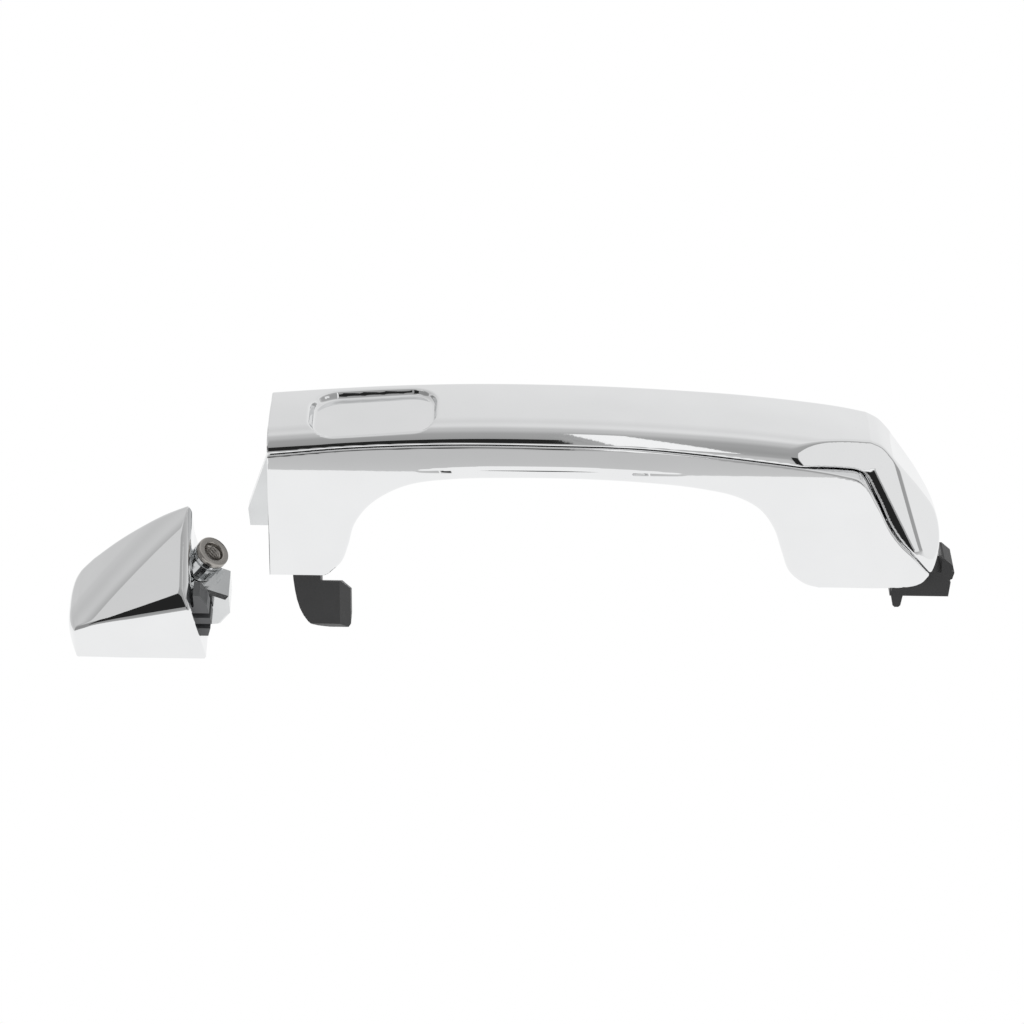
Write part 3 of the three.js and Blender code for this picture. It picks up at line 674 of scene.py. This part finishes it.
def make_floor():
    """A lit table under the grip, a little larger than what the camera sees of it."""
    table = emission("light_table", (1, 1, 1), 1.0)
    left, right = TARGET_X - 280, TARGET_X + 285
    near, far = TARGET_Y - 200, TARGET_Y + 900
    corners = [(left, near), (right, near), (right, far), (left, far)]
    card("floor", [(x, y, FLOOR_Z) for x, y in corners], table)


def facing_card(name, point, towards, distance, width, height, material):
    """A card out from a point of the drawing frame along a direction, square to it."""
    out = Vector(towards).normalized()
    centre = Vector(point) + Vector(ORIGIN) / MM + out * distance
    side = out.cross(Vector((0, 0, 1))).normalized() * width / 2
    up = side.cross(out).normalized() * height / 2
    card(name, [centre - side - up, centre + side - up, centre + side + up, centre - side + up], material)


def standing_card(name, left, right, low, high, material):
    """An upright card beyond the camera, from left to right of the middle of the picture."""
    x0, x1, y = TARGET_X + left, TARGET_X + right, TARGET_Y - CARDS_AWAY
    card(name, [(x0, y, low), (x1, y, low), (x1, y, high), (x0, y, high)], material)


def make_cards():
    """Black flags and pale strips round the camera, which the chrome's edges and facets mirror."""
    black = emission("black_flag", (1, 1, 1), 0.02)
    grey = emission("grey_strip", (1, 1, 1), 0.42)
    white = emission("white_strip", (1, 1, 1), 1.05)
    pale = emission("pale_card", (1, 1, 1), 0.88)
    dim = emission("dim_card", (1, 1, 1), 0.72)
    standing_card("flag", -420, 40, 40, 520, black)
    standing_card("strip_a", 44, 52, 20, 900, grey)
    standing_card("strip_b", 57, 66, 20, 900, grey)
    standing_card("strip_c", 72, 160, 20, 1500, white)
    facing_card("sliver_flag", (180, 5, 28), (0.38, -0.926, 0.014), 900, 230, 300, black)
    facing_card("flat_card", (175, 6, 34), (0.697, -0.699, 0.152), 900, 400, 420, pale)
    facing_card("cap_flag", (-40, -8, -6), (-0.498, -0.784, 0.374), 900, 300, 300, black)
    facing_card("cap_card", (-40, 0, 0), (-0.617, -0.437, 0.653), 900, 420, 360, dim)


# Brightness by direction in the plane across the grip, from the back wall (0 degrees) over the top
# (90) to the camera's side (180), and on round under the floor's edge (270).
SKY = [
    (0, 0.93), (20, 0.9), (30, 0.87), (45, 0.84), (70, 0.8), (92, 0.86), (112, 0.62), (135, 0.42),
    (160, 0.38), (180, 0.42), (196, 0.62), (215, 0.82), (270, 0.92), (359, 0.93),
]


def make_sky():
    """Soft light from all round, dimmer from the camera's side and from the left."""
    world = bpy.data.worlds.new("studio")
    bpy.context.scene.world = world
    world.use_nodes = True
    tree = world.node_tree
    background = tree.nodes["Background"]
    place = node(tree, "ShaderNodeTexCoord")
    split = node(tree, "ShaderNodeSeparateXYZ")
    tree.links.new(place.outputs["Generated"], split.inputs["Vector"])
    angle = node(tree, "ShaderNodeMath", operation="ARCTAN2")
    tree.links.new(split.outputs["Z"], angle.inputs[0])
    tree.links.new(split.outputs["Y"], angle.inputs[1])
    turn = node(tree, "ShaderNodeMath", operation="MULTIPLY")
    turn.inputs[1].default_value = 1 / (2 * math.pi)
    tree.links.new(angle.outputs[0], turn.inputs[0])
    whole = node(tree, "ShaderNodeMath", operation="WRAP")
    whole.inputs[1].default_value = 1.0
    whole.inputs[2].default_value = 0.0
    tree.links.new(turn.outputs[0], whole.inputs[0])
    ramp = node(tree, "ShaderNodeValToRGB")
    ramp.color_ramp.interpolation = "EASE"
    while len(ramp.color_ramp.elements) < len(SKY):
        ramp.color_ramp.elements.new(0.5)
    for element, (degrees, level) in zip(ramp.color_ramp.elements, SKY):
        element.position = degrees / 360
        element.color = (level, level, level, 1)
    tree.links.new(whole.outputs[0], ramp.inputs["Fac"])
    side = node(tree, "ShaderNodeMapRange")
    for key, value in {"From Min": -1, "From Max": 0.2, "To Min": 0.72, "To Max": 1.0}.items():
        side.inputs[key].default_value = value
    tree.links.new(split.outputs["X"], side.inputs["Value"])
    mix = node(tree, "ShaderNodeVectorMath", operation="SCALE")
    tree.links.new(ramp.outputs["Color"], mix.inputs[0])
    tree.links.new(side.outputs["Result"], mix.inputs["Scale"])
    tree.links.new(mix.outputs["Vector"], background.inputs["Color"])


def make_camera():
    """A long lens thirty degrees above the grip's near side."""
    data = bpy.data.cameras.new("camera")
    data.sensor_width = 36
    data.lens = 123.7
    data.clip_end = 20
    camera = bpy.data.objects.new("camera", data)
    bpy.context.scene.collection.objects.link(camera)
    away = Vector((0, -math.cos(CAMERA_RISE), math.sin(CAMERA_RISE))) * CAMERA_AWAY
    facing = away.to_track_quat("Z", "Y").to_matrix().to_4x4()
    roll = Matrix.Rotation(CAMERA_ROLL, 4, "Z")
    camera.matrix_world = Matrix.Translation(Vector(TARGET) + away) @ facing @ roll
    bpy.context.scene.camera = camera


finish_nodes()
make_shells()
make_insert()
make_floor()
make_cards()
make_sky()
make_camera()
bpy.context.scene.view_settings.view_transform = "Standard"
